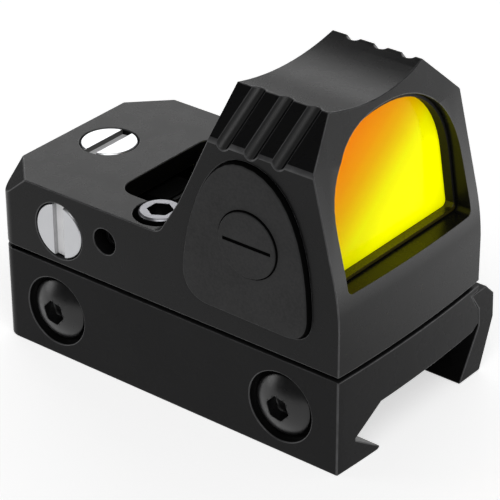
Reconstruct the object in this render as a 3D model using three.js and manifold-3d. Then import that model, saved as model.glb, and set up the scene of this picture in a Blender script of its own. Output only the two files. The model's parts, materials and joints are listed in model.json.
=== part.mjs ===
// Miniature reflex red dot sight on a low rail clamp mount.
// Millimetres. +X is forward (towards the objective lens), +Y is left, +Z is up.
// The origin is on the rail seat, midway along the mount and on the sight's centre plane.
import * as THREE from 'three';
import { mergeVertices } from 'three/addons/utils/BufferGeometryUtils.js';
import Module from 'manifold-3d';

const wasm = await Module();
wasm.setup();

// ---------------------------------------------------------------- driving dimensions
const HALF_LENGTH = 23.4;          // rear face and the middle of the bowed front face
const HALF_WIDTH = 12.5;
const FRONT_BOW = 0.5;             // how far the front face bulges at the centre plane
const REAR_CORNER_RADIUS = 1.9;
const FIT_GAP = 0.1;               // clearance between parts that are bolted or bonded
const SEATING_GAP = 0.05;          // between a screw head and its seat
const BEYOND = 18;                 // a distance outside the body across its width, for cutting tools

const MOUNT_TOP = 5.45;
const JAW_BOTTOM = -5.76;
const SEAM = 0.54;                 // thickness of the dark gap that the sealing plate fills
const HOUSING_BOTTOM = MOUNT_TOP + SEAM;
const DECK_TOP = 14.71;
const HOOD_TOP = 32.3;

const FRONT_CORNER_X = HALF_LENGTH - FRONT_BOW;

// mount cross-section in Y and Z: fixed jaw, V notch with a small flat at its root, rail seat with a
// relief at its far side, then the ledge behind the clamp plate
const MOUNT_SECTION = [
  [-HALF_WIDTH, MOUNT_TOP], [-HALF_WIDTH, JAW_BOTTOM], [-5.9, JAW_BOTTOM], [-5.56, -5.46],
  [-9.58, -2.796], [-9.58, -2.513], [-5.55, 0],
  [11.6, 0], [12.72, 0.55], [12.62, 2.38], [11.05, 4.72], [HALF_WIDTH, 4.72], [HALF_WIDTH, MOUNT_TOP],
];
const CLAMP_SECTION = [
  [11.18, 4.62], [12.75, 2.35], [12.9, 0.09], [9.54, -5.67],
  [13.41, -5.67], [15.65, 0.14], [15.55, 3.15], [14.05, 4.62],
];

// rail clamp
const CROSS_SCREW_X = 15.5;        // two cross screws at +X and -X
const CROSS_SCREW_Z = -0.27;
const CROSS_SHAFT_RADIUS = 1.95;
const CROSS_CLEARANCE_RADIUS = 2.2;
const CROSS_THREAD_RADIUS = 2.05;
const COUNTERBORE_RADIUS = 4.05;
const COUNTERBORE_DEPTH = 1.7;
const BUTTON_HEAD_RADIUS = 3.5;
const BUTTON_HEAD_RIM = 1.2;       // straight part of the head below its dome
const BUTTON_HEAD_DOME = 1.2;
const CROSS_SCREW_END = 16.2;
const HEX_KEY = 2.5;               // across flats
const HEX_TURN = Math.PI / 10;     // how the cross screws' sockets happen to stand

// sight screws between housing and mount
const SIGHT_SCREW = {
  x: -3.41, y: 8.68, headRadius: 2.37, shaftRadius: 1.45, clearance: 1.65,
  headTop: 14.86, seat: 11.8, end: 1.4, threadBottom: 1.15, bossRadius: 3.1,
};
const RECESS = { dx: 0.31, dy: 0.42, radius: 2.9 };
const PIN = { x: 20.2, y: 9.6, radius: 1.2, clearance: 1.35, bottom: 3.3, top: 8.0 };

// emitter well in the deck
const WELL = { rear: -10.2, front: 14.2, halfWidth: 7.85, radius: 2.1, floor: 10.2, top: 20 };

// adjusters
const ADJUSTER_RADIUS = 3.18;
const ADJUSTER_POCKET = 3.32;
const ADJUSTER_SHAFT = 1.2;
const ADJUSTER_HEAD = 1.55;        // height of the head
const ADJUSTER_PROUD = 0.02;
const SEAL_SPACE = 0.35;           // room for the O-ring under the head
const ADJUSTER_SLOT = { width: 1.45, depth: 0.6 };
const WINDAGE = { x: -14.6, z: 10.0 };
const ELEVATION_X = -18.2;
const LOCK = { x: -8.05, z: 11.0, radius: 1.5, outer: -10.9, inner: -4.75, hexKey: 1.5 };

// hood
const SHOULDER = { y: 7.85, z: 27.7 };        // inner top edge and outer lower edge of the grips
const HOOD_REAR = -1.55;                      // where its side walls run out into the deck
const SCALLOP_RADIUS = 31.9;
const SCALLOP_BOTTOM = 31.32;
const GROOVES = { count: 3, midX: 12.2, pitch: 3.47, lean: 0.95, radius: 0.95, depth: 0.5 };

// window and lens
const WINDOW = {
  halfWidth: 10.73, bottom: DECK_TOP, springZ: 20.91, archHeight: 9.64, power: 2.3, corner: 0.7,
};
const LENS_LEAN = 0.158;                      // rearward shift per unit of height
const LENS_X = 19.68;                         // front of the glass at the window's lower edge
const LENS_THICKNESS = 1.3;
const LENS_FRAME = 1.2;
const LENS_FRAME_WIDTH = 0.32;

// buttons
const BUTTON = {
  x: 11.87, z: 17.8, keyRadius: 3.68, flangeRadius: 4.3,
  padFace: 13.14, padLip: 12.75, keyFace: 13.41, keyFlange: 12.65, keyBack: 12.3,
};
const MARK = { minus: 3.05, plus: 2.4, halfWidth: 0.18, depth: 0.25 };
const POCKET_FLOOR = 11.4;
const FLEX = { halfWidth: 1.5, thickness: 0.12, floor: 10.5, inner: -5.2, outer: -6.6, boardX: -6.1 };

// battery, a 20 x 3.2 mm lithium cell
const BATTERY = { x: 9.0, radius: 10.0, bottom: 6.05, height: 3.2, pocketTop: 9.75 };

// Blocks and hollows below are box corners: x0, x1, y0, y1, z0, z1.
// hollows under the deck
const BOARD_BAY = [-21.2, -5.6, -9.5, 9.5, 0, 7.4];
const CONTACT_BAY = [-5.7, 0, -3.2, 3.2, 0, 7.4];
const SLIDE_BAY = [-21.0, -9.5, -7.2, 4.9, 7, 12.4];
const EMITTER_BAY = [-10.5, -6.2, -4.9, 4.9, 7, 10.6];
const FLEX_DROP = [-6.4, -5.65, -6.75, -5.0, 5, 10.6];
const FLEX_CHANNEL = [-6.4, 0.5, -6.75, -5.0, 10.35, 11];

// slides that carry the light source
const WINDAGE_BLOCK = {
  base: [-16.6, -6.8, -4.0, 4.0, 7.6, 8.15],
  boss: [-16.6, -12.6, -6.4, -1.9, 7.6, 12.0],
  rightCheek: [-12.4, -6.9, -4.0, -2.8, 8.0, 10.1],
  leftCheek: [-12.4, -6.9, 2.8, 4.0, 8.0, 10.1],
};
const CARRIAGE = {
  eye: [-20.4, -15.9, -1.6, 2.8, 9.2, 11.2],
  arm: [-16.2, -11.0, -1.4, 1.6, 9.2, 11.2],
  head: [-11.5, -7.9, -2.6, 2.6, 8.8, 11.8],
  ledSocket: [-8.6, -7, -1.1, 1.1, 10.3, 11.3],
  slotHalf: 0.55,
};
const LED_BOARD = [-8.5, -8.2, -1.0, 1.0, 10.35, 11.25];
const LED_EMITTER = [-8.15, -7.95, -0.45, 0.45, 10.5, 11.1];
const APERTURE_CAP = [-7.85, -7.45, -1.6, 1.6, 10.0, 11.6];
const APERTURE = { x: -7.65, z: 10.8, radius: 0.3 };

// electronics
const CIRCUIT_BOARD = [-20.8, -5.9, -9.1, 9.1, 6.45, 7.15];
const BOARD_PARTS = [[-19, -16.5, 5.6, 8, 7.1, 7.36], [-11.5, -10, 6.2, 8.4, 7.1, 7.36]];
const CONTROL_CHIP = [-19.5, -15.5, -8.6, -6.6, 7.2, 7.36];
const SIDE_CONTACT = [[-1.2, -1.05, -0.9, 0.9, 6.2, 8.6], [-6.6, -1.05, -0.9, 0.9, 6.2, 6.35]];

// ---------------------------------------------------------------- geometry helpers
function toSolid(geometry) {
  const bare = geometry.clone();
  bare.deleteAttribute('normal');
  bare.deleteAttribute('uv');
  const merged = mergeVertices(bare, 1e-4);
  return new wasm.Manifold(new wasm.Mesh({
    numProp: 3,
    vertProperties: new Float32Array(merged.attributes.position.array),
    triVerts: new Uint32Array(merged.index.array),
  }));
}

function toGeometry(solid) {
  const mesh = solid.getMesh();
  const geometry = new THREE.BufferGeometry();
  geometry.setAttribute('position', new THREE.BufferAttribute(mesh.vertProperties, 3));
  geometry.setIndex(new THREE.BufferAttribute(mesh.triVerts, 1));
  return geometry;
}

function unite(...geometries) {
  return toGeometry(geometries.map(toSolid).reduce((sum, part) => sum.add(part)));
}

function cut(base, ...tools) {
  return toGeometry(tools.map(toSolid).reduce((rest, tool) => rest.subtract(tool), toSolid(base)));
}

function intersect(a, b) {
  return toGeometry(toSolid(a).intersect(toSolid(b)));
}

// A copy on the other side of the centre plane, with its faces still pointing out.
function mirrored(geometry) {
  const copy = geometry.index ? geometry.clone() : mergeVertices(geometry.clone());
  copy.scale(1, -1, 1);
  const index = copy.index.array;
  for (let i = 0; i < index.length; i += 3) {
    [index[i], index[i + 1]] = [index[i + 1], index[i]];
  }
  return copy;
}

function box([x0, x1, y0, y1, z0, z1]) {
  const geometry = new THREE.BoxGeometry(x1 - x0, y1 - y0, z1 - z0);
  return geometry.translate((x0 + x1) / 2, (y0 + y1) / 2, (z0 + z1) / 2);
}

function extrude(shape, depth, options = {}) {
  return new THREE.ExtrudeGeometry(shape, { depth, bevelEnabled: false, curveSegments: 10, ...options });
}

// The shape's axes become X and Y; it is extruded from z0 up to z1.
function extrudeUp(shape, z0, z1, options) {
  return extrude(shape, z1 - z0, options).translate(0, 0, z0);
}

// The shape's axes become X and Z; it is extruded from y1 back to y0.
function extrudeAcross(shape, y0, y1, options) {
  return extrude(shape, y1 - y0, options).rotateX(Math.PI / 2).translate(0, y1, 0);
}

// The shape's axes become Y and Z; it is extruded from x0 forward to x1.
function extrudeForward(shape, x0, x1, options) {
  const axes = new THREE.Matrix4().set(0, 0, 1, x0, 1, 0, 0, 0, 0, 1, 0, 0, 0, 0, 0, 1);
  return extrude(shape, x1 - x0, options).applyMatrix4(axes);
}

function polygon(points) {
  return new THREE.Shape(points.map(([a, b]) => new THREE.Vector2(a, b)));
}

// A solid of revolution about Z, from [radius, height] pairs.
function lathe(profile, segments) {
  const points = profile.map(([radius, height]) => new THREE.Vector2(radius, height));
  return new THREE.LatheGeometry(points, segments).rotateX(Math.PI / 2);
}

function discProfile(radius, low, high) {
  return [[0, low], [radius, low], [radius, high], [0, high]];
}

function upright(x, y, profile, segments = 32) {
  return lathe(profile, segments).translate(x, y, 0);
}

function uprightRod(x, y, radius, z0, z1, segments = 32) {
  return upright(x, y, discProfile(radius, z0, z1), segments);
}

// Heights in the profile are Y coordinates.
function crosswise(x, z, profile, segments = 32) {
  return lathe(profile, segments).rotateX(-Math.PI / 2).translate(x, 0, z);
}

function crosswiseRod(x, z, radius, y0, y1, segments = 32) {
  return crosswise(x, z, discProfile(radius, y0, y1), segments);
}

function hexagon(acrossFlats, turn = 0) {
  const corner = acrossFlats / Math.sqrt(3);
  const points = [];
  for (let i = 0; i < 6; i += 1) {
    const angle = (i + 0.5) * Math.PI / 3 + turn;
    points.push([corner * Math.cos(angle), corner * Math.sin(angle)]);
  }
  return polygon(points);
}

// ---------------------------------------------------------------- outlines
// Plan outline: bowed front, rounded rear corners. Inset moves every side inwards.
function planShape(inset = 0) {
  const w = HALF_WIDTH - inset;
  const rear = -HALF_LENGTH + inset;
  const front = FRONT_CORNER_X - inset;
  const r = REAR_CORNER_RADIUS;
  const bowRadius = (w * w + FRONT_BOW * FRONT_BOW) / (2 * FRONT_BOW);
  const bowAngle = Math.asin(w / bowRadius);
  const shape = new THREE.Shape();
  shape.moveTo(front, -w);
  shape.absarc(front + FRONT_BOW - bowRadius, 0, bowRadius, -bowAngle, bowAngle, false);
  shape.lineTo(rear + r, w);
  shape.absarc(rear + r, w - r, r, Math.PI / 2, Math.PI, false);
  shape.lineTo(rear, -w + r);
  shape.absarc(rear + r, -w + r, r, Math.PI, 1.5 * Math.PI, false);
  return shape;
}

// Window outline in Y and Z: straight sill and sides under a superelliptic arch.
function windowShape(inset = 0, steps = 28) {
  const halfWidth = WINDOW.halfWidth - inset;
  const bottom = WINDOW.bottom + inset;
  const archHeight = WINDOW.archHeight - inset;
  const r = WINDOW.corner;
  const shape = new THREE.Shape();
  shape.moveTo(-halfWidth + r, bottom);
  shape.lineTo(halfWidth - r, bottom);
  shape.absarc(halfWidth - r, bottom + r, r, -Math.PI / 2, 0, false);
  for (let i = 0; i <= steps; i += 1) {
    const angle = Math.PI * i / steps;
    const c = Math.cos(angle);
    const s = Math.sin(angle);
    const y = Math.sign(c) * halfWidth * Math.abs(c) ** (2 / WINDOW.power);
    shape.lineTo(y, WINDOW.springZ + archHeight * s ** (2 / WINDOW.power));
  }
  shape.lineTo(-halfWidth, bottom + r);
  shape.absarc(-halfWidth + r, bottom + r, r, Math.PI, 1.5 * Math.PI, false);
  return shape;
}

// Egg-shaped outline of a button pad in X and Z. Grow moves it outwards about its middle.
function padShape(grow = 0) {
  const middle = { x: 11.5, z: 17.6 };
  const half = { x: 8.1, z: 8.8 };
  const spread = (value, key) => middle[key] + (value - middle[key]) * (1 + grow / half[key]);
  const at = (x, z) => [spread(x, 'x'), spread(z, 'z')];
  const shape = new THREE.Shape();
  shape.moveTo(...at(6.55, 8.85));
  shape.lineTo(...at(16.55, 8.73));
  shape.bezierCurveTo(...at(18.35, 8.73), ...at(19.35, 9.8), ...at(19.35, 11.8));
  shape.bezierCurveTo(...at(19.27, 18.6), ...at(17.3, 26.5), ...at(11.1, 26.5));
  shape.bezierCurveTo(...at(6.35, 26.5), ...at(3.55, 18.6), ...at(3.15, 12.35));
  shape.bezierCurveTo(...at(3.15, 10.2), ...at(4.45, 8.85), ...at(6.55, 8.85));
  return shape;
}

function wellShape() {
  const { rear, front, halfWidth: w, radius: r } = WELL;
  const shape = new THREE.Shape();
  shape.moveTo(front, -w);
  shape.lineTo(front, w);
  shape.lineTo(rear + r, w);
  shape.absarc(rear + r, w - r, r, Math.PI / 2, Math.PI, false);
  shape.lineTo(rear, -w + r);
  shape.absarc(rear + r, -w + r, r, Math.PI, 1.5 * Math.PI, false);
  return shape;
}

// ---------------------------------------------------------------- mount
function mountBody() {
  const section = polygon(MOUNT_SECTION);
  const reach = HALF_LENGTH + 1;
  const blank = intersect(
    extrudeForward(section, -reach, reach),
    extrudeUp(planShape(), JAW_BOTTOM - 1, MOUNT_TOP + 1),
  );
  // The ledge behind the clamp plate stands a little proud of the plan outline.
  const ledgeTop = 3.2;
  const ledge = intersect(
    extrudeForward(section, -FRONT_CORNER_X, FRONT_CORNER_X),
    box([-FRONT_CORNER_X, FRONT_CORNER_X, HALF_WIDTH - 0.2, BEYOND, -1, ledgeTop]),
  );
  const tools = [];
  for (const x of [-CROSS_SCREW_X, CROSS_SCREW_X]) {
    const floor = -HALF_WIDTH + COUNTERBORE_DEPTH;
    tools.push(crosswiseRod(x, CROSS_SCREW_Z, COUNTERBORE_RADIUS, -BEYOND, floor, 48));
    tools.push(crosswiseRod(x, CROSS_SCREW_Z, CROSS_CLEARANCE_RADIUS, -BEYOND, BEYOND, 24));
  }
  for (const side of [-1, 1]) {
    const { x, y, shaftRadius, threadBottom } = SIGHT_SCREW;
    tools.push(uprightRod(x, side * y, shaftRadius + FIT_GAP, threadBottom, MOUNT_TOP + 1, 24));
    tools.push(uprightRod(PIN.x, side * PIN.y, PIN.radius + FIT_GAP, PIN.bottom - FIT_GAP, MOUNT_TOP + 1, 24));
  }
  return cut(unite(blank, ledge), ...tools);
}

function clampPlate() {
  const plate = extrudeForward(polygon(CLAMP_SECTION), -FRONT_CORNER_X, FRONT_CORNER_X);
  const holes = [-CROSS_SCREW_X, CROSS_SCREW_X].map(
    (x) => crosswiseRod(x, CROSS_SCREW_Z, CROSS_THREAD_RADIUS, 0, BEYOND, 24),
  );
  return cut(plate, ...holes);
}

// Button-head cross screw: head in the counterbore, shaft through to the clamp plate.
function crossScrew(x) {
  const seat = -HALF_WIDTH + COUNTERBORE_DEPTH - SEATING_GAP;
  const rim = seat - BUTTON_HEAD_RIM;
  const dome = [];
  const steps = 6;
  const sphere = (BUTTON_HEAD_RADIUS ** 2 + BUTTON_HEAD_DOME ** 2) / (2 * BUTTON_HEAD_DOME);
  const open = Math.asin(BUTTON_HEAD_RADIUS / sphere);
  for (let i = 0; i <= steps; i += 1) {
    const angle = open * i / steps;
    dome.push([sphere * Math.sin(angle), rim - BUTTON_HEAD_DOME + sphere * (1 - Math.cos(angle))]);
  }
  const chamfer = 0.4;
  const profile = [
    ...dome, [BUTTON_HEAD_RADIUS, seat], [CROSS_SHAFT_RADIUS, seat],
    [CROSS_SHAFT_RADIUS, CROSS_SCREW_END - chamfer], [CROSS_SHAFT_RADIUS - chamfer, CROSS_SCREW_END],
    [0, CROSS_SCREW_END],
  ];
  const socketFloor = rim + 0.35;
  const socket = extrudeAcross(hexagon(HEX_KEY, HEX_TURN), -BEYOND, socketFloor);
  return cut(crosswise(x, CROSS_SCREW_Z, profile, 40), socket.translate(x, 0, CROSS_SCREW_Z));
}

function sealingPlate() {
  const clear = 0.03;
  const setBack = 0.7;
  const low = MOUNT_TOP + clear;
  const high = HOUSING_BOTTOM - clear;
  const tools = [];
  for (const side of [-1, 1]) {
    tools.push(uprightRod(SIGHT_SCREW.x, side * SIGHT_SCREW.y, SIGHT_SCREW.clearance, low - 1, high + 1, 24));
    tools.push(uprightRod(PIN.x, side * PIN.y, PIN.clearance, low - 1, high + 1, 24));
  }
  return cut(extrudeUp(planShape(setBack), low, high), ...tools);
}

function sightScrew(side) {
  const { x, y, headRadius, shaftRadius, headTop, end } = SIGHT_SCREW;
  const seat = SIGHT_SCREW.seat + SEATING_GAP;
  const tip = 0.3;
  const rim = 0.15;
  const socketDepth = 1.6;
  const profile = [
    [0, end], [shaftRadius - tip, end], [shaftRadius, end + tip], [shaftRadius, seat],
    [headRadius, seat], [headRadius, headTop - rim], [headRadius - rim, headTop], [0, headTop],
  ];
  const socket = extrudeUp(hexagon(HEX_KEY), headTop - socketDepth, headTop + 1);
  return cut(upright(x, side * y, profile, 40), socket.translate(x, side * y, 0));
}

function recoilPins() {
  return [-1, 1].map((side) => uprightRod(PIN.x, side * PIN.y, PIN.radius, PIN.bottom, PIN.top, 20));
}

// ---------------------------------------------------------------- housing
// Hood seen from the side: upright lower front, then leaning back to above the roof.
function hoodShape() {
  const blankTop = HOOD_TOP + 1.2;
  const shape = new THREE.Shape();
  shape.moveTo(0.5, HOUSING_BOTTOM);
  shape.lineTo(FRONT_CORNER_X, HOUSING_BOTTOM);
  shape.lineTo(FRONT_CORNER_X, 11.5);
  shape.quadraticCurveTo(22.8, 14.3, 22.09, 17.17);
  shape.lineTo(19.5, SHOULDER.z);
  shape.lineTo(17.04, blankTop);
  shape.lineTo(6.47, blankTop);
  shape.lineTo(6.36, SHOULDER.z);
  shape.quadraticCurveTo(4.2, 23.1, 2.3, 19.2);
  shape.lineTo(-0.1, 15.35);
  shape.quadraticCurveTo(-0.55, DECK_TOP, HOOD_REAR, DECK_TOP);
  shape.lineTo(HOOD_REAR, DECK_TOP - 1);
  shape.lineTo(0.5, DECK_TOP - 1);
  return shape;
}

function hoodBlank() {
  const geometry = extrudeAcross(hoodShape(), -HALF_WIDTH, HALF_WIDTH, { steps: 12, curveSegments: 5 });
  const position = geometry.attributes.position;
  const frontHalf = 15;
  for (let i = 0; i < position.count; i += 1) {
    if (position.getX(i) > frontHalf) {
      const share = position.getY(i) / HALF_WIDTH;
      position.setX(i, position.getX(i) + FRONT_BOW * (1 - share * share));
    }
  }
  return geometry;
}

// Plane cuts on one side: rear deck corner and the sloping grip shoulder.
function sideCuts() {
  const leg = 4.13;
  const drop = 3.51;
  const corner = new THREE.Vector3(-HALF_LENGTH, -HALF_WIDTH, DECK_TOP);
  const normal = new THREE.Vector3(-1 / leg, -1 / leg, 1 / drop).normalize();
  const onPlane = corner.clone().add(new THREE.Vector3(leg, 0, 0));
  const size = 20;
  const block = new THREE.BoxGeometry(size, size, size).translate(0, 0, size / 2);
  block.applyQuaternion(new THREE.Quaternion().setFromUnitVectors(new THREE.Vector3(0, 0, 1), normal));
  block.translate(onPlane.x, onPlane.y, onPlane.z);
  const spare = 4;
  const run = (HALF_WIDTH - SHOULDER.y) / (HOOD_TOP - SHOULDER.z);
  const shoulder = extrudeForward(polygon([
    [-HALF_WIDTH, SHOULDER.z], [-SHOULDER.y + spare * run, HOOD_TOP + spare],
    [-HALF_WIDTH - spare, HOOD_TOP + spare], [-HALF_WIDTH - spare, SHOULDER.z],
  ]), 0, HALF_LENGTH + spare);
  return [block, shoulder];
}

// Half-round finger grooves that run up one sloping shoulder.
function gripGrooves() {
  const low = new THREE.Vector3(-GROOVES.lean / 2, -HALF_WIDTH, SHOULDER.z);
  const high = new THREE.Vector3(GROOVES.lean / 2, -SHOULDER.y, HOOD_TOP);
  const along = high.clone().sub(low).normalize();
  const outward = new THREE.Vector3(0, -1, (HALF_WIDTH - SHOULDER.y) / (HOOD_TOP - SHOULDER.z)).normalize();
  const lift = GROOVES.radius - GROOVES.depth;
  const centre = low.clone().add(high).multiplyScalar(0.5).addScaledVector(outward, lift);
  const turn = new THREE.Quaternion().setFromUnitVectors(new THREE.Vector3(0, 1, 0), along);
  const rodLength = 14;
  const grooves = [];
  for (let i = 0; i < GROOVES.count; i += 1) {
    const shift = GROOVES.midX + (i - (GROOVES.count - 1) / 2) * GROOVES.pitch;
    const rod = new THREE.CylinderGeometry(GROOVES.radius, GROOVES.radius, rodLength, 24);
    rod.applyQuaternion(turn).translate(centre.x + shift, centre.y, centre.z);
    grooves.push(rod);
  }
  return grooves;
}

// Everything that both sides of the housing have cut away.
function mirroredTools() {
  const { x, y, seat, clearance } = SIGHT_SCREW;
  const recess = uprightRod(x + RECESS.dx, -y - RECESS.dy, RECESS.radius, seat, HOOD_TOP, 40);
  const shaft = uprightRod(x, -y, clearance, 0, DECK_TOP, 24);
  const padGap = 0.12;
  const pocket = extrudeAcross(padShape(padGap), -BEYOND, -POCKET_FLOOR, { curveSegments: 12 });
  const pin = uprightRod(PIN.x, -PIN.y, PIN.clearance, 0, PIN.top + 0.2, 20);
  const slotHalf = FLEX.halfWidth + FIT_GAP;
  const flexSlot = box([
    BUTTON.x - slotHalf, BUTTON.x + slotHalf, -POCKET_FLOOR - 0.2, -WELL.halfWidth + 1, 10.35, 10.8,
  ]);
  return [
    ...sideCuts(), ...gripGrooves(), recess, shaft, pocket, pin, flexSlot, box(FLEX_DROP), box(FLEX_CHANNEL),
  ];
}

// The emitter well, less the bosses that the sight screws stand on.
function wellTool() {
  const { x, y, seat, bossRadius } = SIGHT_SCREW;
  const bosses = [-1, 1].map((side) => uprightRod(x, side * y, bossRadius, WELL.floor - 1, seat, 32));
  return cut(extrudeUp(wellShape(), WELL.floor, WELL.top, { curveSegments: 8 }), ...bosses);
}

// Pocket under the head, with room for the O-ring, and the hole for the shaft. Depths are from the face.
function adjusterTools(rod, face, into, shaftEnd) {
  const floor = face + into * (ADJUSTER_HEAD + SEAL_SPACE);
  const outside = face - into;
  const span = (a, b) => [Math.min(a, b), Math.max(a, b)];
  return [
    rod(ADJUSTER_POCKET, ...span(outside, floor), 40),
    rod(ADJUSTER_SHAFT + 0.15, ...span(outside, shaftEnd), 24),
  ];
}

function housing() {
  const deck = intersect(
    extrudeUp(planShape(), HOUSING_BOTTOM, DECK_TOP, { curveSegments: 12 }),
    box([-HALF_LENGTH - 1, 1, -BEYOND, BEYOND, 0, BEYOND]),
  );
  const scallop = new THREE.CylinderGeometry(SCALLOP_RADIUS, SCALLOP_RADIUS, 60, 160).rotateZ(Math.PI / 2);
  scallop.translate(0, 0, SCALLOP_BOTTOM + SCALLOP_RADIUS);
  const windageRod = (...size) => crosswiseRod(WINDAGE.x, WINDAGE.z, ...size);
  const elevationRod = (...size) => uprightRod(ELEVATION_X, 0, ...size);
  const sides = mirroredTools();
  const single = [
    wellTool(),
    scallop,
    extrudeForward(windowShape(), HOOD_REAR, 30),
    uprightRod(BATTERY.x, 0, BATTERY.radius + 0.3, 0, BATTERY.pocketTop, 48),
    box(BOARD_BAY), box(CONTACT_BAY), box(SLIDE_BAY), box(EMITTER_BAY),
    ...adjusterTools(windageRod, -HALF_WIDTH, 1, -6),
    ...adjusterTools(elevationRod, DECK_TOP, -1, 10),
    crosswiseRod(LOCK.x, LOCK.z, LOCK.radius, -BEYOND, LOCK.inner + 0.25, 28),
  ];
  return cut(unite(deck, hoodBlank()), ...sides, ...sides.map(mirrored), ...single);
}

// ---------------------------------------------------------------- window glass
// A slice of the window's outline, leaning back with the glass.
function leaningSlice(shape, front, thickness) {
  const slice = extrudeForward(shape, front - thickness, front);
  const shear = new THREE.Matrix4().set(
    1, 0, -LENS_LEAN, LENS_LEAN * WINDOW.bottom, 0, 1, 0, 0, 0, 0, 1, 0, 0, 0, 0, 1,
  );
  return slice.applyMatrix4(shear);
}

function lensFrame() {
  const outer = leaningSlice(windowShape(FIT_GAP), LENS_X + LENS_FRAME, LENS_FRAME - 0.08);
  const inner = leaningSlice(windowShape(FIT_GAP + LENS_FRAME_WIDTH), LENS_X + LENS_FRAME + 1, LENS_FRAME + 2);
  return cut(outer, inner);
}

function lensElement(front) {
  const bondGap = 0.12;
  return leaningSlice(windowShape(bondGap), front, LENS_THICKNESS);
}

// ---------------------------------------------------------------- adjusters and light source
function adjusterProfile(face, into, shaftEnd) {
  const head = face + into * ADJUSTER_HEAD;
  const rim = 0.12;
  return [
    [0, face], [ADJUSTER_RADIUS - rim, face], [ADJUSTER_RADIUS, face + into * rim],
    [ADJUSTER_RADIUS, head], [ADJUSTER_SHAFT, head], [ADJUSTER_SHAFT, shaftEnd], [0, shaftEnd],
  ];
}

function windageScrew() {
  const face = -HALF_WIDTH - ADJUSTER_PROUD;
  const shaftEnd = -2.3;
  const { width, depth } = ADJUSTER_SLOT;
  const slot = box([WINDAGE.x - width / 2, WINDAGE.x + width / 2, face - 1, face + depth, 0, 20]);
  return cut(crosswise(WINDAGE.x, WINDAGE.z, adjusterProfile(face, 1, shaftEnd), 40), slot);
}

function elevationScrew() {
  const face = DECK_TOP + ADJUSTER_PROUD;
  const shaftEnd = 8.2;
  const { width, depth } = ADJUSTER_SLOT;
  const slot = box([ELEVATION_X - width / 2, ELEVATION_X + width / 2, -9, 9, face - depth, face + 1]);
  const profile = adjusterProfile(face, -1, shaftEnd).reverse();
  return cut(upright(ELEVATION_X, 0, profile, 40), slot);
}

// O-ring about Z, centred on the origin.
function sealRing() {
  const wire = 0.13;
  const ring = ADJUSTER_RADIUS - 0.9;
  const sides = 8;
  const points = [];
  for (let i = 0; i <= sides; i += 1) {
    const angle = 2 * Math.PI * i / sides;
    points.push([ring + wire * Math.cos(angle), wire * Math.sin(angle)]);
  }
  return lathe(points, 24);
}

function windageBlock() {
  const hole = crosswiseRod(WINDAGE.x, WINDAGE.z, ADJUSTER_SHAFT + FIT_GAP, -8, 0, 20);
  return cut(unite(...Object.values(WINDAGE_BLOCK).map(box)), hole);
}

// The eye's hole is slotted, because the carriage also moves sideways with the windage block.
function emitterCarriage() {
  const { eye, arm, head, ledSocket, slotHalf } = CARRIAGE;
  const r = ADJUSTER_SHAFT + FIT_GAP;
  const flat = r * 0.98;
  const [low, high] = [8, 13];
  const slot = unite(
    uprightRod(ELEVATION_X, -slotHalf, r, low, high, 20),
    uprightRod(ELEVATION_X, slotHalf, r, low, high, 20),
    box([ELEVATION_X - flat, ELEVATION_X + flat, -slotHalf, slotHalf, low, high]),
  );
  return cut(unite(box(eye), box(arm), box(head)), slot, box(ledSocket));
}

function emitterAperture() {
  const { x, z, radius } = APERTURE;
  const pinhole = new THREE.CylinderGeometry(radius, radius, 2, 16).rotateZ(Math.PI / 2).translate(x, 0, z);
  return cut(box(APERTURE_CAP), pinhole);
}

function lockScrew() {
  const { x, z, radius, outer, inner, hexKey } = LOCK;
  const socket = extrudeAcross(hexagon(hexKey), outer - 1, outer + hexKey).translate(x, 0, z);
  return cut(crosswiseRod(x, z, radius - 0.08, outer, inner, 28), socket);
}

// ---------------------------------------------------------------- buttons, right side (-Y)
function buttonPad() {
  const { x, z, keyRadius, flangeRadius, padFace, padLip } = BUTTON;
  const pad = extrudeAcross(padShape(), -padFace, -POCKET_FLOOR - FIT_GAP, { curveSegments: 12 });
  const flexHalf = FLEX.halfWidth + 0.25;
  return cut(
    pad,
    crosswiseRod(x, z, keyRadius + 0.12, -BEYOND, 0, 40),
    crosswiseRod(x, z, flangeRadius + 0.25, -padLip, 0, 40),
    box([x - flexHalf, x + flexHalf, -POCKET_FLOOR - 0.35, 0, 8, z]),
  );
}

function buttonKey(marks) {
  const { x, z, keyRadius, flangeRadius, keyFace, keyFlange, keyBack } = BUTTON;
  const rim = 0.1;
  const profile = [
    [0, -keyFace], [keyRadius - rim, -keyFace], [keyRadius, -keyFace + rim],
    [keyRadius, -keyFlange], [flangeRadius, -keyFlange], [flangeRadius, -keyBack], [0, -keyBack],
  ];
  return cut(crosswise(x, z, profile, 40), ...marks);
}

function markBar(halfX, halfZ) {
  const { x, z, keyFace } = BUTTON;
  return box([x - halfX, x + halfX, -BEYOND, -keyFace + MARK.depth, z - halfZ, z + halfZ]);
}

function switchDome() {
  const base = -11.64;
  const profile = [[0, base - 0.25], [1.2, base - 0.22], [2.0, base - 0.1], [2.0, base], [0, base]];
  return crosswise(BUTTON.x, BUTTON.z, profile, 20);
}

// Flat cable from the switch, through the side wall and along the well floor to the board.
function switchFlex() {
  const { halfWidth, thickness, floor, inner, outer, boardX } = FLEX;
  const left = BUTTON.x - halfWidth;
  const right = BUTTON.x + halfWidth;
  const front = -POCKET_FLOOR - 0.2;
  const top = floor + thickness;
  return unite(
    box([left, right, front, -POCKET_FLOOR - 0.06, floor, BUTTON.z + 2.2]),
    box([left, right, front, inner, floor, top]),
    box([boardX, BUTTON.x, outer, inner, floor, top]),
    box([boardX, boardX + thickness, outer, inner, CIRCUIT_BOARD[5] + 0.15, top]),
  );
}

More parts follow.
